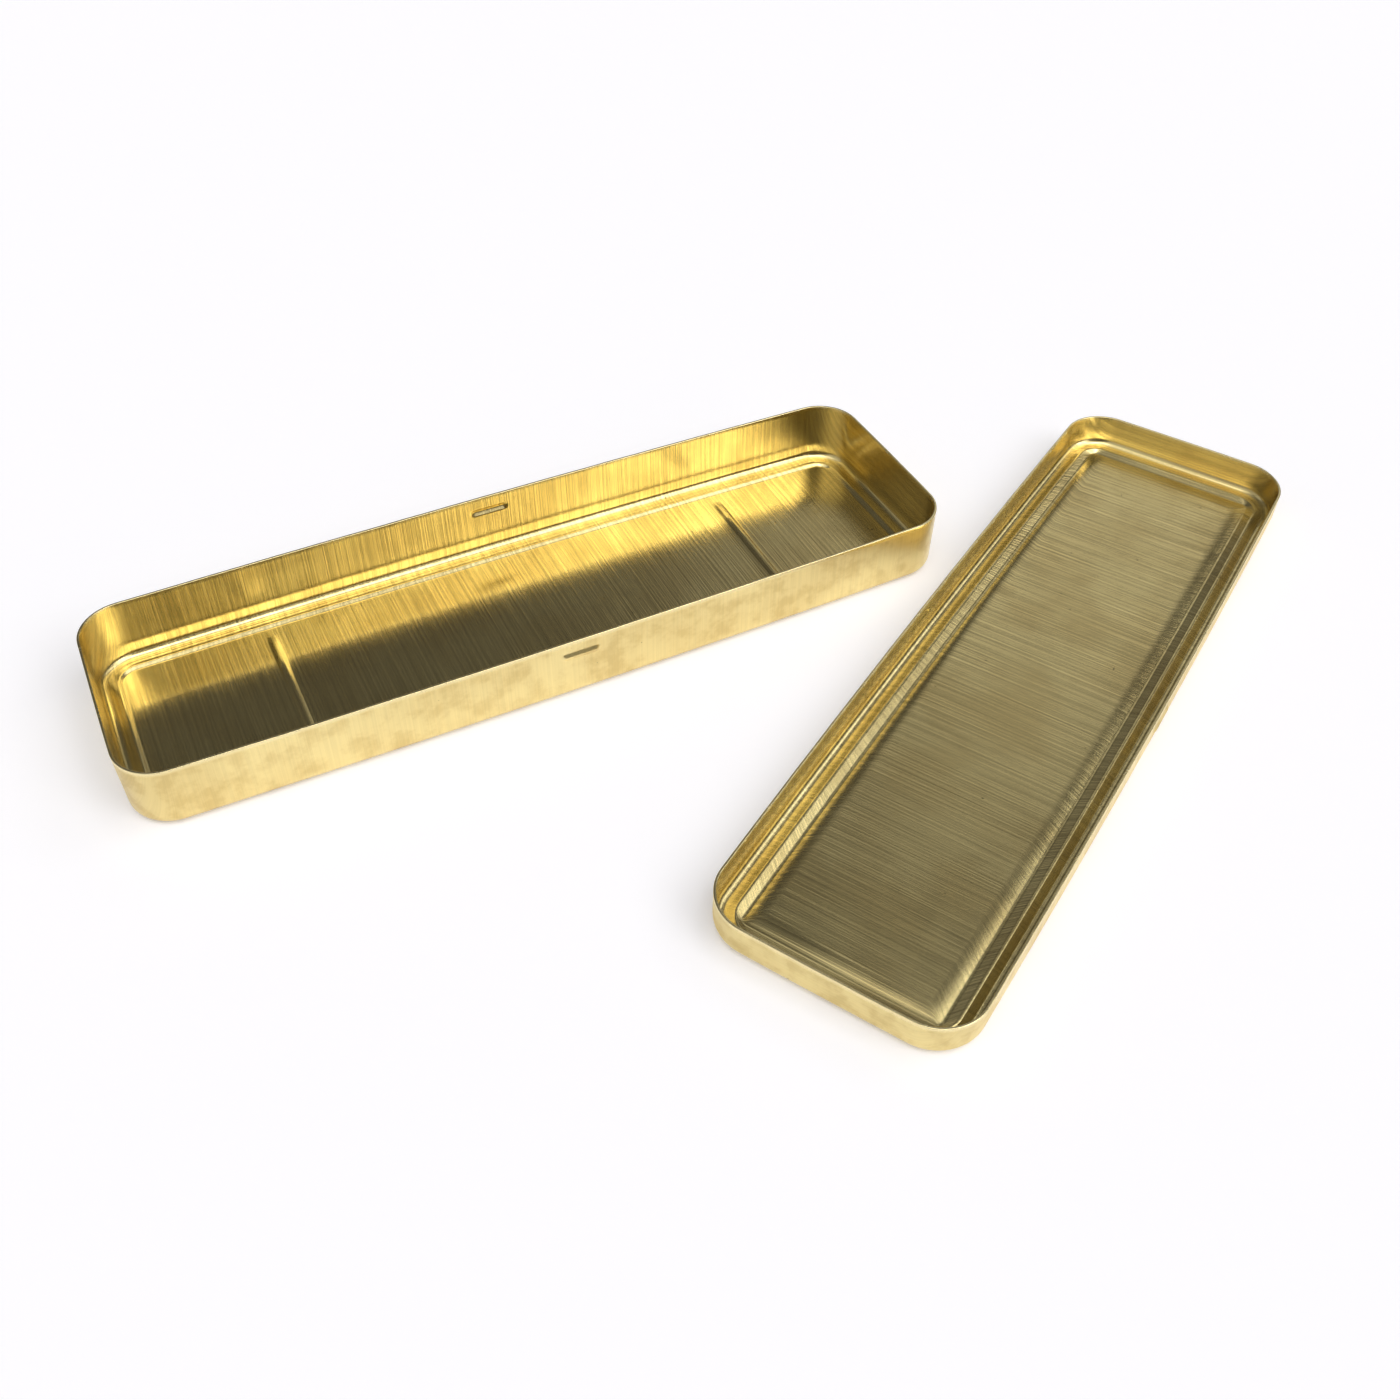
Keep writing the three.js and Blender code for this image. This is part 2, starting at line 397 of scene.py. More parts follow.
@dataclass(frozen=True)
class Tarnish:
    """The cloudy tarnish of handled brass, with its scales per metre."""

    cloud_scale: float = 55.0
    cloud_roughness: float = 0.5
    cloud_span: tuple[float, float] = (0.36, 0.66)
    smudge_scale: float = 240.0
    smudge_roughness: float = 0.6
    smudge_span: tuple[float, float] = (0.42, 0.68)
    detail: float = 4.0
    distortion: float = 0.1
    pit_scale: float = 620.0
    pit_choice: tuple[float, float] = (0.86, 0.9)
    pit_edge: tuple[float, float] = (0.06, 0.16)

    def group(self) -> None:
        """Make the node group: clouds, smudges and small dark pits in a few of the cells, from 0 to 1."""
        board, vector, sink = effect(TARNISH, ("Clouds", "Smudges", "Pits"))
        clouds = self.patches(board, vector, self.cloud_scale, self.cloud_roughness)
        smudges = self.patches(board, vector, self.smudge_scale, self.smudge_roughness)
        cells = board.add("TexVoronoi", Vector=vector, Scale=self.pit_scale)
        chosen = board.remap(cells.outputs["Color"], self.pit_choice)
        spot = board.remap(cells.outputs["Distance"], self.pit_edge, (1.0, 0.0))
        board.feed(sink, "Clouds", board.remap(clouds, self.cloud_span))
        board.feed(sink, "Smudges", board.remap(smudges, self.smudge_span))
        board.feed(sink, "Pits", board.times(chosen, spot))

    def patches(self, board: NodeBoard, vector: Socket, scale: float, roughness: float) -> Socket:
        """Add noise that fills space evenly.

        Args:
            board: The group's nodes.
            vector: The place in space.
            scale: How many features there are per metre.
            roughness: How strong the noise's finer layers are.

        Returns:
            The noise.
        """
        inputs = {"Detail": self.detail, "Roughness": roughness, "Distortion": self.distortion}
        return board.add("TexNoise", Vector=vector, Scale=scale, **inputs).outputs[0]


@dataclass(frozen=True)
class Marks:
    """What varies over a sheet's finish: an output for each kind of mark, and for its two masks."""

    lines: Socket
    streaks: Socket
    clouds: Socket
    smudges: Socket
    pits: Socket
    inside: Socket
    cut: Socket


@dataclass(frozen=True)
class BrushedBrass:
    """Satin brass: brush lines inside, a cloudy handled skin outside, and a bright cut edge that is partly
    bare metal and partly a painted highlight.

    The values named handled and brushed are shares on the outer face and on the inner face. The
    depth of the lines is in metres, and the streaks and pits are deep by so many times that.
    """

    name: str
    clean: tuple[float, float, float] = (0.93, 0.77, 0.36)
    aged: tuple[float, float, float] = (0.76, 0.59, 0.25)
    groove: tuple[float, float, float] = (0.30, 0.24, 0.10)
    stain: tuple[float, float, float] = (0.20, 0.14, 0.05)
    # The edge colour is bare cut brass, paler than the clean colour, and partly a painted highlight along
    # the rim.
    edge: tuple[float, float, float] = (1.0, 0.86, 0.48)
    handled: tuple[float, float] = (1.3, 0.25)
    brushed: tuple[float, float] = (0.25, 1.0)
    cloudiness: float = 0.55
    smudge_age: float = 0.8
    line_shade: float = 0.20
    streak_shade: float = 0.24
    # Share of the pale edge colour on the rim: bare metal and a painted highlight.
    cut_edge_and_highlight: float = 0.8
    inner_roughness: float = 0.17
    outer_roughness: float = 0.30
    line_dulling: float = 0.07
    smudge_dulling: float = 0.08
    edge_gloss: float = 0.12
    directional: float = 0.85
    line_depth: float = 0.000008
    streak_relief: float = 0.9
    pit_relief: float = 2.0

    def material(self) -> bpy.types.Material:
        """Build the node material.

        Returns:
            A material that reads the sheet's own map, Object coordinates and two attributes.
        """
        made = bpy.data.materials.new(self.name)
        made.use_nodes = True
        board = NodeBoard(made.node_tree)
        shader = made.node_tree.nodes["Principled BSDF"]
        shader.inputs["Metallic"].default_value = 1.0
        shader.inputs["Anisotropic"].default_value = self.directional
        tangent = board.add("Tangent", {"direction_type": "UV_MAP", "uv_map": SHEET_MAP})
        board.feed(shader, "Tangent", tangent.outputs[0])
        marks = self.marks(board)
        board.feed(shader, "Base Color", self.colour(board, marks))
        board.feed(shader, "Roughness", self.roughness(board, marks))
        board.feed(shader, "Normal", self.relief(board, marks))
        return made

    def marks(self, board: NodeBoard) -> Marks:
        """Place the two node groups, with more of one on the inner face and of the other outside.

        Args:
            board: The material's nodes.

        Returns:
            The marks.
        """
        groups = bpy.data.node_groups
        sheet_map = board.add("UVMap", {"uv_map": SHEET_MAP}).outputs[0]
        place = board.add("TexCoord").outputs["Object"]
        inside = board.add("Attribute", {"attribute_name": INNER_FACE}).outputs["Fac"]
        cut = board.add("Attribute", {"attribute_name": CUT_EDGE}).outputs["Fac"]
        brushing = board.add("Group", {"node_tree": groups[BRUSHING]}, Vector=sheet_map).outputs
        tarnish = board.add("Group", {"node_tree": groups[TARNISH]}, Vector=place).outputs
        handled = board.remap(inside, (0.0, 1.0), self.handled)
        brushed = board.remap(inside, (0.0, 1.0), self.brushed)
        return Marks(
            lines=board.times(brushing["Lines"], brushed),
            streaks=board.times(brushing["Streaks"], brushed),
            clouds=tarnish["Clouds"],
            smudges=board.times(tarnish["Smudges"], handled),
            pits=tarnish["Pits"],
            inside=inside,
            cut=cut,
        )

    def colour(self, board: NodeBoard, marks: Marks) -> Socket:
        """Mix the brass from clean to aged, darken its streaks and pits, and brighten its cut edge, which
        is partly bare metal and partly a painted highlight.

        Args:
            board: The material's nodes.
            marks: What varies over the sheet.

        Returns:
            The colour.
        """
        cloudy = board.times(marks.clouds, self.cloudiness)
        smudged = board.times(marks.smudges, self.smudge_age * self.cloudiness)
        age = board.math("ADD", cloudy, smudged, clamp=True)
        skin = board.blend(age, (*self.clean, 1.0), (*self.aged, 1.0))
        lines = board.times(marks.lines, self.line_shade)
        worn = board.math("ADD", lines, board.times(marks.streaks, self.streak_shade))
        skin = board.blend(worn, skin, (*self.groove, 1.0))
        skin = board.blend(marks.pits, skin, (*self.stain, 1.0))
        # Painted highlight: the rim rows are mixed towards the pale edge colour, which also stands for the
        # bare cut metal.
        return board.blend(board.times(marks.cut, self.cut_edge_and_highlight), skin, (*self.edge, 1.0))

    def roughness(self, board: NodeBoard, marks: Marks) -> Socket:
        """Vary the gloss: duller where brushed or handled, glossier on the cut edge.

        Args:
            board: The material's nodes.
            marks: What varies over the sheet.

        Returns:
            The roughness.
        """
        plain = board.remap(marks.inside, (0.0, 1.0), (self.outer_roughness, self.inner_roughness))
        uneven = board.math("ADD", plain, board.times(marks.lines, self.line_dulling))
        dulled = board.math("ADD", uneven, board.times(marks.smudges, self.smudge_dulling))
        return board.math("SUBTRACT", dulled, board.times(marks.cut, self.edge_gloss))

    def relief(self, board: NodeBoard, marks: Marks) -> Socket:
        """Raise the brush lines and streaks, and sink the pits.

        Args:
            board: The material's nodes.
            marks: What varies over the sheet.

        Returns:
            The normal.
        """
        height = board.math("ADD", marks.lines, board.times(marks.streaks, self.streak_relief))
        height = board.math("SUBTRACT", height, board.times(marks.pits, self.pit_relief))
        return board.add("Bump", Strength=1.0, Distance=self.line_depth, Height=height).outputs[0]


@dataclass(frozen=True)
class SheetForm:
    """What both trays share: the sheet, and how it is drawn, in millimetres, with the lean in degrees.

    The outer face keeps a hair inside the solid's, by the skin gap.
    """

    sheet: float = 0.5
    lean: float = 0.5
    side_bow: float = 0.85
    end_bow: float = 0.2
    foot: float = 1.9
    foot_rise: float = 0.1
    ledge: float = 2.0
    bend: float = 0.25
    rim_round: float = 0.14
    skin_gap: float = 0.02

    @property
    def slope(self) -> float:
        """How far a wall leans in for each millimetre below its rim."""
        return math.tan(math.radians(self.lean))

    @property
    def foot_top(self) -> float:
        """The height at which the round foot turns into the wall."""
        return self.foot_rise + self.foot

    @property
    def crest(self) -> float:
        """How far the crest of the ledge lies inside the wall."""
        return self.foot + self.ledge


@dataclass(frozen=True)
class Fineness:
    """How many steps a tray's bends have, and how far apart its points lie, in millimetres.

    The end spacing is a share of half an end. Points lie closer at the dimples and the beads, and
    the zones for that reach past them by the margin.
    """

    foot_steps: int = 12
    bend_steps: int = 8
    rim_steps: int = 4
    corner_steps: int = 16
    side_spacing: float = 1.5
    end_spacing: float = 0.1
    wall_spacing: float = 0.9
    dimple_zone: float = 1.5
    dimple_up: float = 0.14
    dimple_along: float = 0.24
    bead_along: float = 0.2
    margin: float = 0.4


@dataclass
class Skin:
    """A closed surface: its points, its faces, and for each point its place on the sheet and two masks."""

    points: np.ndarray
    faces: np.ndarray
    flat: np.ndarray
    cut: np.ndarray
    inside: np.ndarray


@dataclass
class PressedTray:
    """One tray of drawn sheet: sizes in millimetres, over the outside of the rim.

    The node, body and slot are its names in the frame. The drop is how far its panel lies below the
    crest of the ledge, and the shoulder is how wide that step is. Its place and turn, in degrees,
    are where it lies on the table.
    """

    node: str
    body: str
    slot: str
    finish: BrushedBrass
    form: SheetForm
    length: float
    width: float
    depth: float
    corner: float
    drop: float
    shoulder: float
    panel_corner: float
    dimple_height: float
    seed: int
    swell: float = 0.0
    swell_width: float = 5.0
    swell_rise: float = 1.9
    swell_bend: float = 1.3
    crest_bend: float = 0.25
    dimple: Ridge = Ridge(length=8.2, width=1.8, height=0.43, fullness=1.1)
    bead_spacing: float = 0.0
    bead_width: float = 2.0
    bead_height: float = 0.3
    bead_fullness: float = 2.0
    bead_end_gap: float = 2.6
    bulge_power: int = 8
    wall_waves: Waves = Waves(count=14, longest=34.0, shortest=9.0, height=0.035, fade=3.0, squeeze=2.0)
    rim_waves: Waves = Waves(count=9, longest=40.0, shortest=5.0, height=0.05, fade=2.0, squeeze=0.0)
    panel_waves: Waves = Waves(count=8, longest=90.0, shortest=28.0, height=0.05, fade=4.0)
    place: tuple[float, float] = (0.0, 0.0)
    turn: float = 0.0
    grid: Fineness = Fineness()

    def __post_init__(self) -> None:
        """Place the points along a side and an end, and count the steps from one corner to the next."""
        grid = self.grid
        zones = [(0.0, self.dimple.length / 2.0 + grid.margin, grid.dimple_along)]
        half_bead = self.bead_width / 2.0 + grid.margin
        zones += [(side * self.bead_spacing / 2.0, half_bead, grid.bead_along) for side in (-1, 1)]
        straight = self.length / 2.0 - self.corner
        self.along = spread(-straight, straight, grid.side_spacing, zones)[1:-1] / straight
        self.upright = spread(-1.0, 1.0, grid.end_spacing, [])[1:-1]
        self.long_steps = len(self.along) + 1 + grid.corner_steps
        self.end_steps = len(self.upright) + 1 + grid.corner_steps

    def face_section(self, inset: float) -> np.ndarray:
        """One face of the sheet, from the top of the wall's foot to the panel.

        The foot is a quarter circle. From there the face climbs over the ledge to its crest, drops
        down the shoulder to the panel's edge and, where the panel has a swell, rises again.

        Args:
            inset: How far the face lies inside the outer one.

        Returns:
            Rows of inset and height.
        """
        form, grid = self.form, self.grid
        bottom = form.foot_rise + inset
        edge = form.crest + self.shoulder
        foot = arc((form.foot, form.foot_top), form.foot - inset, 180.0, 270.0, grid.foot_steps)
        corners = [
            (form.foot, bottom, 0.0),
            (form.foot + form.bend, bottom, form.bend),
            (form.crest, self.drop + inset, self.crest_bend),
            (edge, inset, self.crest_bend),
            (edge + self.swell_rise, inset + self.swell, self.swell_bend),
            (edge + self.swell_width, inset + self.swell, 0.0),
        ]
        line = softened(corners if self.swell else corners[:-1], grid.bend_steps)
        return np.concatenate((foot[:-1], line))

    def section(self) -> tuple[np.ndarray, np.ndarray, np.ndarray]:
        """The whole section of the sheet, from the outer panel edge over the rim to the inner one.

        Returns:
            Rows of inset and height, how much each row is cut edge, and how much it is inner face.
        """
        form, grid = self.form, self.grid
        top = self.depth - form.rim_round
        zone = (self.dimple_height, grid.dimple_zone, grid.dimple_up)
        heights = spread(form.foot_top, top, grid.wall_spacing, [zone])[1:-1]
        parts = (
            (self.face_section(0.0)[::-1], 0.0, 0.0),
            (np.stack((np.zeros_like(heights), heights), axis=1), 0.0, 0.0),
            (arc((form.rim_round, top), form.rim_round, 180.0, 90.0, grid.rim_steps), 1.0, 0.0),
            (arc((form.sheet - form.rim_round, top), form.rim_round, 90.0, 0.0, grid.rim_steps), 1.0, 0.0),
            (np.stack((np.full_like(heights, form.sheet), heights), axis=1)[::-1], 0.0, 1.0),
            (self.face_section(form.sheet), 0.0, 1.0),
        )
        rows = np.concatenate([line for line, _, _ in parts])
        cut = np.concatenate([np.full(len(line), share) for line, share, _ in parts])
        inside = np.concatenate([np.full(len(line), share) for line, _, share in parts])
        rows[:, 0] += form.skin_gap * (1.0 - inside)
        return rows, cut, inside

    def outline(self, inset: np.ndarray, drawn_in: np.ndarray) -> np.ndarray:
        """Rounded rectangles drawn in from the outside, with their sides bowed out.

        The corners have the same middle down to the crest of the ledge, and down the shoulder their
        radius turns into the panel's own. The long sides bow by one minus the square of the way
        along, and the ends likewise.

        Args:
            inset: One inset for each rectangle, as a column.
            drawn_in: How much more the lean of the walls draws each one in.

        Returns:
            For each rectangle, a closed ring of points that starts in the middle of a corner.
        """
        form, steps = self.form, self.grid.corner_steps
        half_length, half_width = self.length / 2.0, self.width / 2.0
        down = np.clip((inset - form.crest) / self.shoulder, 0.0, 1.0)
        wall_corner = self.corner - np.minimum(inset, form.crest)
        radius = (1.0 - down) * wall_corner + down * self.panel_corner - drawn_in
        reach_x = half_length - inset - drawn_in - radius
        reach_y = half_width - inset - drawn_in - radius
        bend = np.radians(np.linspace(0.0, 90.0, steps + 1))
        parts = []
        for quarter, (side_x, side_y) in enumerate(((1, 1), (-1, 1), (-1, -1), (1, -1))):
            angle = bend + quarter * np.pi / 2.0
            x = side_x * reach_x + radius * np.cos(angle)
            y = side_y * reach_y + radius * np.sin(angle)
            parts.append(np.stack((x, y), axis=2))
            if quarter % 2 == 0:
                x = -side_x * self.along * reach_x
                y = np.broadcast_to(side_y * (reach_y + radius), x.shape)
            else:
                y = -side_y * self.upright * reach_y
                x = np.broadcast_to(side_x * (reach_x + radius), y.shape)
            parts.append(np.stack((x, y), axis=2))
        ring = np.roll(np.concatenate(parts, axis=1), -steps // 2, axis=1)
        part_x, part_y = ring[..., 0] / half_length, ring[..., 1] / half_width
        bow_x = part_x * form.end_bow * (1.0 - part_y ** 2)
        bow_y = part_y * form.side_bow * (1.0 - part_x ** 2)
        return ring + np.stack((bow_x, bow_y), axis=2)

    def patch(self, ring: np.ndarray) -> np.ndarray:
        """Fill a ring with a grid whose lines run straight across the tray.

        A point lies on the straight line between the two long sides, and near an end it is moved
        by as much as that end bulges past the straight line between its corners. The share of
        that move is one minus the way along, to a high power.

        Args:
            ring: The closed ring of points.

        Returns:
            The grid's points, with its outermost ones on the ring.
        """
        long, end = self.long_steps, self.end_steps
        top = ring[: long + 1]
        bottom = ring[long + end : 2 * long + end + 1][::-1]
        left = ring[long : long + end + 1]
        right = np.concatenate((ring[2 * long + end :], ring[:1]))[::-1]
        down = ((right[0, 1] - right[:, 1]) / (right[0, 1] - right[-1, 1]))[:, None, None]
        along = np.linspace(0.0, 1.0, long + 1)[None, :, None]
        filled = (1.0 - down) * top[None] + down * bottom[None]
        right_bulge = right[:, None] - ((1.0 - down) * right[0] + down * right[-1])
        left_bulge = left[:, None] - ((1.0 - down) * left[0] + down * left[-1])
        right_share, left_share = (1.0 - along) ** self.bulge_power, along ** self.bulge_power
        return filled + right_share * right_bulge + left_share * left_bulge

    def patch_numbers(self, first: int, spare: int) -> np.ndarray:
        """Number a patch's points: its border takes the ring's numbers, and its inside new ones.

        Args:
            first: The number of the ring's first point.
            spare: The first number that is free.

        Returns:
            The numbers on the patch's grid.
        """
        long, end = self.long_steps, self.end_steps
        count = 2 * (long + end)
        numbers = np.zeros((end + 1, long + 1), int)
        numbers[1:-1, 1:-1] = spare + np.arange((end - 1) * (long - 1)).reshape(end - 1, long - 1)
        numbers[0] = first + np.arange(long + 1)
        numbers[:, -1] = first + long + np.arange(end + 1)
        numbers[-1] = (first + long + end + np.arange(long + 1))[::-1]
        numbers[:, 0] = first + ((count - np.arange(end + 1)) % count)
        return numbers

    def shape_walls(self, points: np.ndarray, normal: np.ndarray, rows: np.ndarray) -> np.ndarray:
        """Press the dimples outwards, and make the walls and the rim slightly uneven.

        A point moves outwards by the dimple's rise, and inwards by half of one minus the mixed
        waves, times their height, which fades in above the foot. The rim sinks by half of one plus
        its own waves, times their height, which fades in towards the top.

        Args:
            points: The rings of points, in rows.
            normal: The outward direction of each point of a ring.
            rows: The section's rows of inset and height.

        Returns:
            The points, moved.
        """
        z = points[..., 2]
        around = np.cumsum(np.hypot(*np.diff(points[0, :, :2], axis=0, append=points[0, :1, :2]).T))
        around = np.broadcast_to(around, z.shape)
        walls, rim = self.wall_waves, self.rim_waves
        uneven = (walls.mixed(around, z, self.seed) - 1.0) / 2.0
        worn = np.clip(1.0 + rim.mixed(around, z, self.seed + 1), 0.0, None) / 2.0
        push = self.dimple.rise(points[..., 0], z - self.dimple_height)
        push = push + walls.height * walls.faded(z - self.form.foot_top) * uneven
        moved = points.copy()
        moved[..., :2] += push[..., None] * normal
        moved[..., 2] -= rim.height * rim.faded(rows[:, 1] - self.depth + rim.fade)[:, None] * worn
        return moved

    def panel_height(self, points: np.ndarray, middle: float) -> np.ndarray:
        """How far the panel stands above its level: faint waves, and the beads where it has them.

        The waves are half of one plus the mix, times their height, which fades in from the sides.

        Args:
            points: Positions on the panel.
            middle: Half the width of the panel.

        Returns:
            The height at each position.
        """
        x, y = points[..., 0], points[..., 1]
        waves = self.panel_waves
        uneven = (1.0 + waves.mixed(x, y, self.seed + 2)) / 2.0
        height = waves.height * waves.faded(middle - np.abs(y)) * uneven
        if self.bead_spacing:
            bead_length = 2.0 * (middle - self.bead_end_gap)
            bead = Ridge(bead_length, self.bead_width, self.bead_height, self.bead_fullness)
            for side in (-1, 1):
                height = height + bead.rise(y, x - side * self.bead_spacing / 2.0)
        return height

    def unrolled(self, rows: np.ndarray, ring: np.ndarray, normal: np.ndarray) -> np.ndarray:
        """Lay the drawn sheet flat again, so that the brush lines run on over its bends.

        A point of the walls goes to the panel's edge, and out from there by its distance along the
        section.

        Args:
            rows: The section's rows of inset and height.
            ring: The ring of points at the panel's edge.
            normal: The outward direction of each point of the ring.

        Returns:
            The flat place of each point of each row's ring.
        """
        along = np.concatenate(([0.0], np.cumsum(np.hypot(*np.diff(rows, axis=0).T))))
        reach = np.minimum(along, along[-1] - along)
        return ring[None] + reach[:, None, None] * normal[None]

    def skin(self) -> Skin:
        """Work out the whole closed surface of the tray, before it is put in place.

        Each row of the section makes a ring, the rings are joined by faces, and a patch fills the
        first ring below and the last one above.

        Returns:
            The surface, in millimetres.
        """
        rows, cut, inside = self.section()
        drawn_in = (self.depth - rows[:, 1]) * self.form.slope
        rings = self.outline(rows[:, :1], drawn_in[:, None])
        count = rings.shape[1]
        step = np.roll(rings[0], -1, axis=0) - np.roll(rings[0], 1, axis=0)
        normal = np.stack((step[:, 1], -step[:, 0]), axis=1)
        normal /= np.linalg.norm(normal, axis=1)[:, None]
        heights = np.broadcast_to(rows[:, 1:2], rings.shape[:2])
        points = self.shape_walls(np.concatenate((rings, heights[..., None]), axis=2), normal, rows)

        middle = np.abs(rings[0, :, 1]).max()
        panels = []
        for ring in (points[0], points[-1]):
            panel = self.patch(ring)[1:-1, 1:-1]
            panel[..., 2] += self.panel_height(panel, middle)
            panels.append(panel.reshape(-1, 3))
        total = len(rows) * count
        place = np.arange(total).reshape(len(rows), count)
        after = np.roll(place, -1, axis=1)
        lower = self.patch_numbers(0, total)
        upper = self.patch_numbers(total - count, total + len(panels[0]))
        walls = quads(place[:-1], after[:-1], after[1:], place[1:])
        under = quads(lower[:-1, :-1], lower[1:, :-1], lower[1:, 1:], lower[:-1, 1:])
        over = quads(upper[:-1, :-1], upper[:-1, 1:], upper[1:, 1:], upper[1:, :-1])

        unrolled = self.unrolled(rows, rings[0], normal)
        sizes = [len(panel) for panel in panels]
        return Skin(
            points=np.concatenate([points.reshape(-1, 3)] + panels),
            faces=np.concatenate((walls, under, over)),
            flat=np.concatenate([unrolled.reshape(-1, 2)] + [panel[:, :2] for panel in panels]),
            cut=np.concatenate((np.repeat(cut, count), np.zeros(sum(sizes)))),
            inside=np.concatenate((np.repeat(inside, count), np.repeat((0.0, 1.0), sizes))),
        )

    def build(self) -> bpy.types.Object:
        """Put the surface into a mesh, in place and in metres, and dress it.

        Returns:
            The tray's object.
        """
        skin = self.skin()
        angle = math.radians(self.turn)
        turn = np.array(((math.cos(angle), -math.sin(angle)), (math.sin(angle), math.cos(angle))))
        skin.points[:, :2] = skin.points[:, :2] @ turn.T + np.array(self.place)
        mesh = bpy.data.meshes.new(self.node + "_sheet")
        mesh.from_pydata((skin.points * MM).tolist(), [], skin.faces.tolist())
        mesh.polygons.foreach_set("use_smooth", np.ones(len(skin.faces), bool))
        corners = np.empty(len(mesh.loops), np.int32)
        mesh.loops.foreach_get("vertex_index", corners)
        layer = mesh.uv_layers.new(name=SHEET_MAP)
        layer.data.foreach_set("uv", (skin.flat[corners] * MM).ravel())
        for name, values in ((CUT_EDGE, skin.cut), (INNER_FACE, skin.inside)):
            mesh.attributes.new(name, "FLOAT", "POINT").data.foreach_set("value", values)
        mesh.update()
        tray = bpy.data.objects.new(self.node + "_sheet", mesh)
        bpy.context.scene.collection.objects.link(tray)
        mesh.materials.append(self.finish.material())
        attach(tray, self.body)
        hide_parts(self.node)
        return tray


@dataclass
class PenBox:
    """The base tray and the lid tray, with the fit between them, in millimetres.

    The solid's dimples stand out of its walls by the seen share of their depth. At their height the
    lean has drawn the two walls in, together by the lean at the dimples.
    """

    form: SheetForm = SheetForm()
    corner: float = 8.2
    dimple_depth: float = 0.45
    dimple_below_rim: float = 3.45
    dimple_seen: float = 0.99
    lean_at_dimples: float = 0.06
    base_drop: float = 0.5
    base_shoulder: float = 0.9
    base_panel_corner: float = 3.0
    bead_spacing: float = 99.0
    lid_depth: float = 7.6
    lid_drop: float = 0.8
    lid_shoulder: float = 1.9
    lid_panel_corner: float = 1.0
    lid_swell: float = 0.5
    lid_crest_bend: float = 0.4
    lid_cloudiness: float = 0.6
    side_clearance: float = 0.12
    end_clearance: float = 0.6
    seat_gap: float = 0.1
    lid_place: tuple[float, float] = (78.5, -60.5)
    lid_turn: float = 30.75

    def __post_init__(self) -> None:
        """Read the base's overall size from the frame, and take off its bows and dimples."""
        low, high = (np.array(corner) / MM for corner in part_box("base_tray"))
        size = high - low
        stands_out = self.form.side_bow + self.dimple_depth * self.dimple_seen
        self.length = size[0] - 2.0 * self.form.end_bow
        self.width = size[1] - 2.0 * stands_out + self.lean_at_dimples
        self.depth = size[2]

    def base(self) -> PressedTray:
        """Set out the base tray.

        Returns:
            The tray, not built yet.
        """
        return PressedTray(
            node="base_tray",
            body="base",
            slot="base_brass",
            finish=BrushedBrass("base_brass"),
            form=self.form,
            length=self.length,
            width=self.width,
            depth=self.depth,
            corner=self.corner,
            drop=self.base_drop,
            shoulder=self.base_shoulder,
            panel_corner=self.base_panel_corner,
            dimple_height=self.depth - self.dimple_below_rim,
            bead_spacing=self.bead_spacing,
            seed=11,
        )

    def lid(self) -> PressedTray:
        """Set out the lid tray, which slips over the base with a small clearance.

        The rim of the base seats on the round foot inside the lid, and that sets the height of the
        lid's dimples.

        Returns:
            The tray, not built yet.
        """
        form = self.form
        grow = form.sheet + self.lid_depth * form.slope
        inner_foot = form.foot - form.sheet
        seat = inner_foot - math.sqrt(inner_foot ** 2 - (inner_foot - self.side_clearance) ** 2)
        rim_in_lid = form.foot_rise + form.sheet + seat + self.seat_gap
        return PressedTray(
            node="lid_tray",
            body="lid",
            slot="lid_brass",
            finish=BrushedBrass("lid_brass", cloudiness=self.lid_cloudiness),
            form=form,
            length=self.length + 2.0 * (grow + self.end_clearance),
            width=self.width + 2.0 * (grow + self.side_clearance),
            depth=self.lid_depth,
            corner=self.corner + form.sheet + self.side_clearance,
            drop=self.lid_drop,
            shoulder=self.lid_shoulder,
            panel_corner=self.lid_panel_corner,
            swell=self.lid_swell,
            crest_bend=self.lid_crest_bend,
            dimple_height=rim_in_lid + self.dimple_below_rim,
            place=self.lid_place,
            turn=self.lid_turn,
            seed=29,
        )

    def build(self) -> list[bpy.types.Object]:
        """Build both trays.

        Returns:
            Their objects.
        """
        Brushing().group()
        Tarnish().group()
        return [self.base().build(), self.lid().build()]


class Ray(Enum):
    """The kinds of ray that see the floor's own glow."""

    CAMERA = "Is Camera Ray"
    GLOSSY = "Is Glossy Ray"
    GLASS = "Is Transmission Ray"


@dataclass(frozen=True)
class Glow:
    """A soft patch of light in the room: its direction and its two edges in degrees, and its strength.

    It is full within its inner edge, and fades out smoothly to its outer one.
    """

    azimuth: float
    elevation: float
    inner: float
    outer: float
    strength: float

    def axis(self) -> tuple[float, float, float]:
        """The unit vector toward the middle of the patch."""
        turn, rise = math.radians(self.azimuth), math.radians(self.elevation)
        return math.cos(rise) * math.cos(turn), math.cos(rise) * math.sin(turn), math.sin(rise)


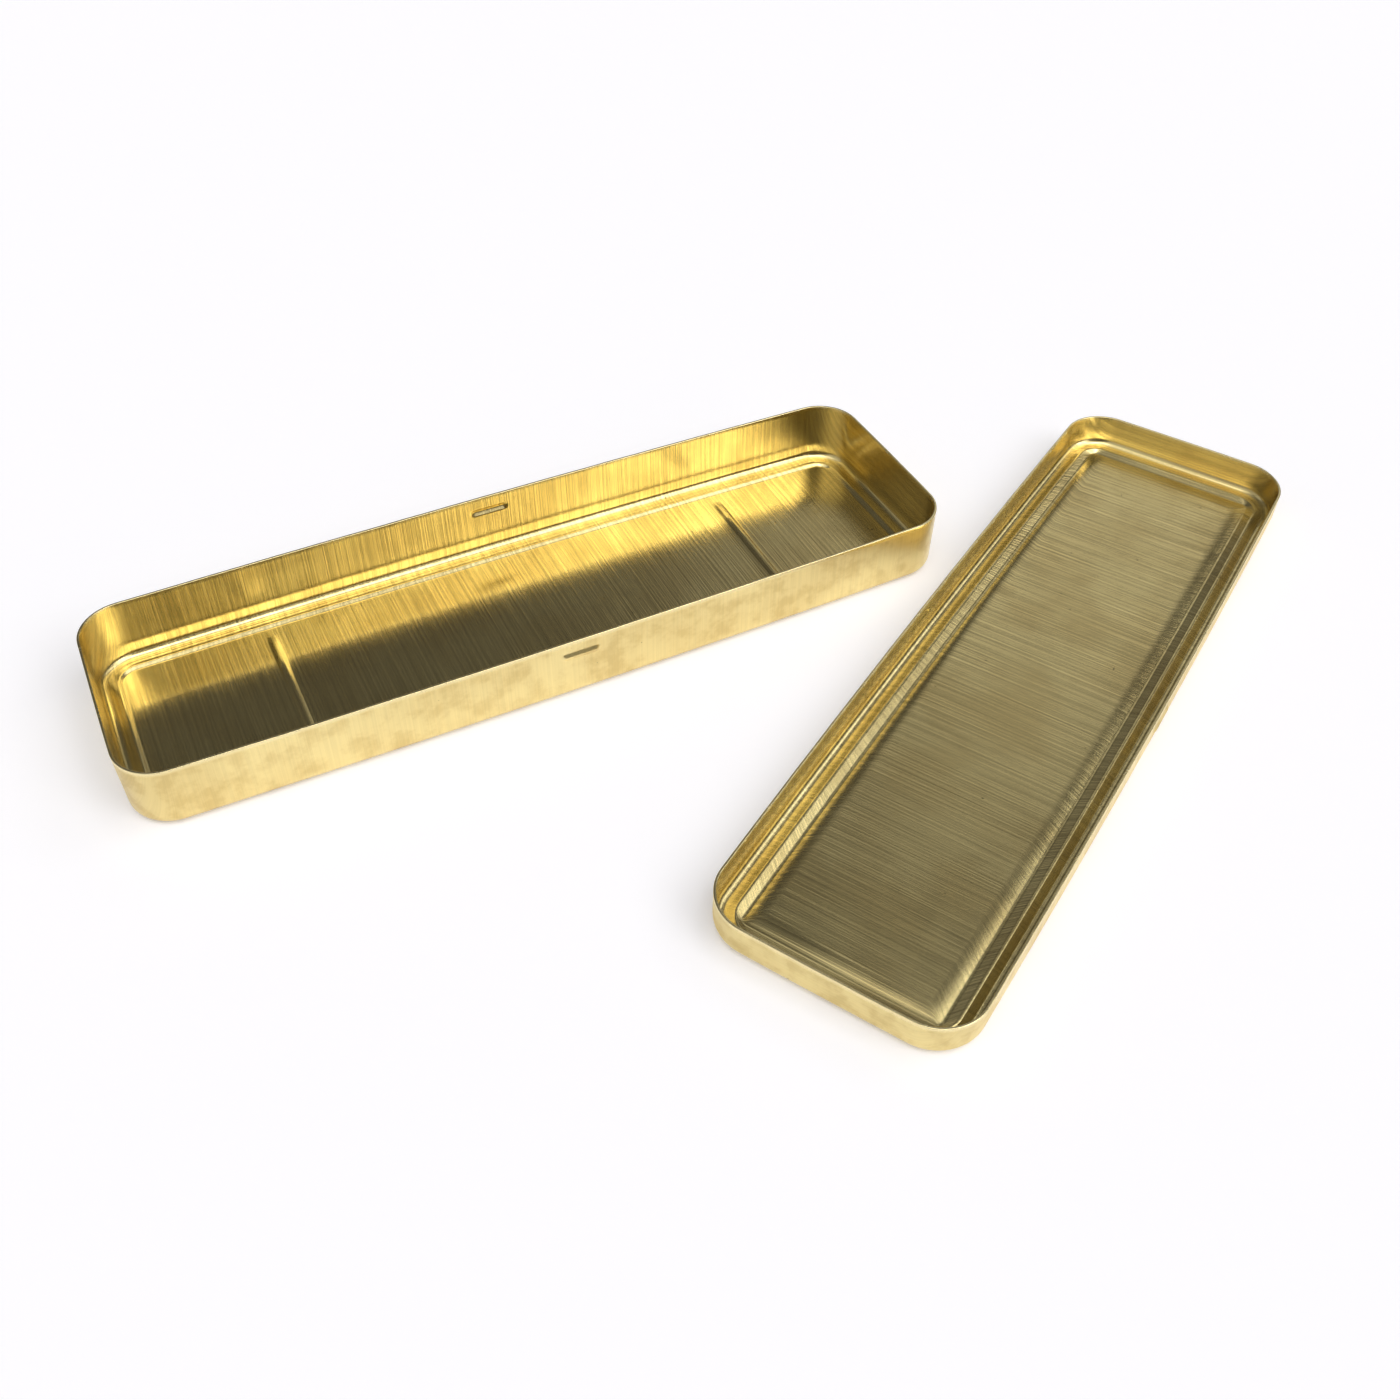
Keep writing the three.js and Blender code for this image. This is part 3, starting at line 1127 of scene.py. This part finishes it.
@dataclass
class Studio:
    """The camera, the pale floor and the soft room, in metres and degrees.

    The glows lie one over the other, so a later one covers an earlier one, and one that is weaker
    than what it covers is a shade.
    """

    focal_pixels: float = 1403.5
    tilt: float = 45.755
    roll: float = 1.231
    heading: float = 27.685
    target: tuple[float, float] = (0.01912, -0.03585)
    distance: float = 0.2682
    sensor_mm: float = 36.0
    nearest: float = 0.01
    floor_size: float = 6.0
    floor_gap: float = 0.00002
    floor_colour: tuple[float, float, float] = (0.88, 0.865, 0.895)
    floor_roughness: float = 0.9
    floor_glow: float = 0.24
    room: float = 0.09
    room_tint: tuple[float, float, float] = (0.98, 0.98, 1.0)
    glows: tuple[Glow, ...] = (
        Glow(200.0, 60.0, 10.0, 34.0, 1.1),
        Glow(192.0, 26.0, 10.0, 30.0, 0.5),
        Glow(156.0, 30.0, 8.0, 28.0, 0.5),
        Glow(78.0, 6.0, 8.0, 28.0, 0.4),
        Glow(300.0, 76.0, 10.0, 31.0, 4.7),
        Glow(20.0, 84.0, 6.0, 20.0, 0.18),
        Glow(312.0, 57.0, 9.0, 22.0, 2.2),
        Glow(334.0, 34.0, 6.0, 16.0, 0.5),
        Glow(305.0, 38.0, 9.0, 19.0, 3.7),
        Glow(354.0, 38.0, 9.0, 14.0, 1.7),
        Glow(284.0, 16.0, 5.0, 9.0, 1.8),
        Glow(44.0, 34.5, 4.0, 15.0, 0.72),
    )

    def camera(self) -> None:
        """Place the camera at the photograph's viewing angle."""
        tilt, roll, heading = (math.radians(a) for a in (self.tilt, self.roll, self.heading))
        level = math.cos(tilt)
        ahead = Vector((math.sin(heading) * level, math.cos(heading) * level, -math.sin(tilt)))
        right = Vector((math.cos(heading), -math.sin(heading), 0.0))
        up = right.cross(ahead)
        rolled_right = math.cos(roll) * right + math.sin(roll) * up
        rolled_up = -math.sin(roll) * right + math.cos(roll) * up
        data = bpy.data.cameras.new("camera")
        data.sensor_width = self.sensor_mm
        data.lens = self.sensor_mm * self.focal_pixels / FRAME_PIXELS
        data.clip_start = self.nearest
        camera = bpy.data.objects.new("camera", data)
        bpy.context.scene.collection.objects.link(camera)
        spot = Vector((*self.target, 0.0)) - self.distance * ahead
        turn = Matrix((rolled_right, rolled_up, -ahead)).transposed().to_4x4()
        camera.matrix_world = Matrix.Translation(spot) @ turn
        bpy.context.scene.camera = camera

    def floor(self) -> None:
        """Lay a matt pale floor under the box, with a glow that lights nothing but is seen and mirrored."""
        place = (0.0, 0.0, CAD_BOX[0][2] - self.floor_gap)
        bpy.ops.mesh.primitive_plane_add(size=self.floor_size, location=place)
        plane = bpy.context.object
        plane.name = "floor"
        made = bpy.data.materials.new("pale_floor")
        made.use_nodes = True
        board = NodeBoard(made.node_tree)
        shader = made.node_tree.nodes["Principled BSDF"]
        shader.inputs["Base Color"].default_value = (*self.floor_colour, 1.0)
        shader.inputs["Roughness"].default_value = self.floor_roughness
        shader.inputs["Specular IOR Level"].default_value = 0.0
        shader.inputs["Emission Color"].default_value = (1.0, 1.0, 1.0, 1.0)
        rays = board.add("LightPath").outputs
        seen = 0.0
        for ray in Ray:
            seen = board.math("MAXIMUM", seen, rays[ray.value])
        board.feed(shader, "Emission Strength", board.times(seen, self.floor_glow))
        plane.data.materials.append(made)

    def surroundings(self) -> None:
        """Light the room: an even dim level, and the glows over it in their order."""
        world = bpy.data.worlds.new("pale_room")
        world.use_nodes = True
        board = NodeBoard(world.node_tree)
        direction = board.add("TexCoord").outputs["Generated"]
        colour = (*(self.room * share for share in self.room_tint), 1.0)
        for glow in self.glows:
            facing = board.vector_math("DOT_PRODUCT", direction, glow.axis(), "Value")
            edges = (math.cos(math.radians(glow.outer)), math.cos(math.radians(glow.inner)))
            colour = board.blend(board.remap(facing, edges), colour, (*(glow.strength,) * 3, 1.0))
        background = world.node_tree.nodes["Background"]
        board.feed(background, "Color", colour)
        board.feed(background, "Strength", 1.0)
        bpy.context.scene.world = world

    def build(self) -> None:
        """Set up the whole studio."""
        self.camera()
        self.floor()
        self.surroundings()
        bpy.context.scene.view_settings.view_transform = "Standard"


def main() -> None:
    """Build the studio and the pen box, and report each tray."""
    logging.basicConfig(level=logging.INFO, format="%(name)s: %(message)s")
    Studio().build()
    for tray in PenBox().build():
        log.info("%s: %d points, %d faces", tray.name, len(tray.data.vertices), len(tray.data.polygons))


if __name__ == "__main__":
    main()
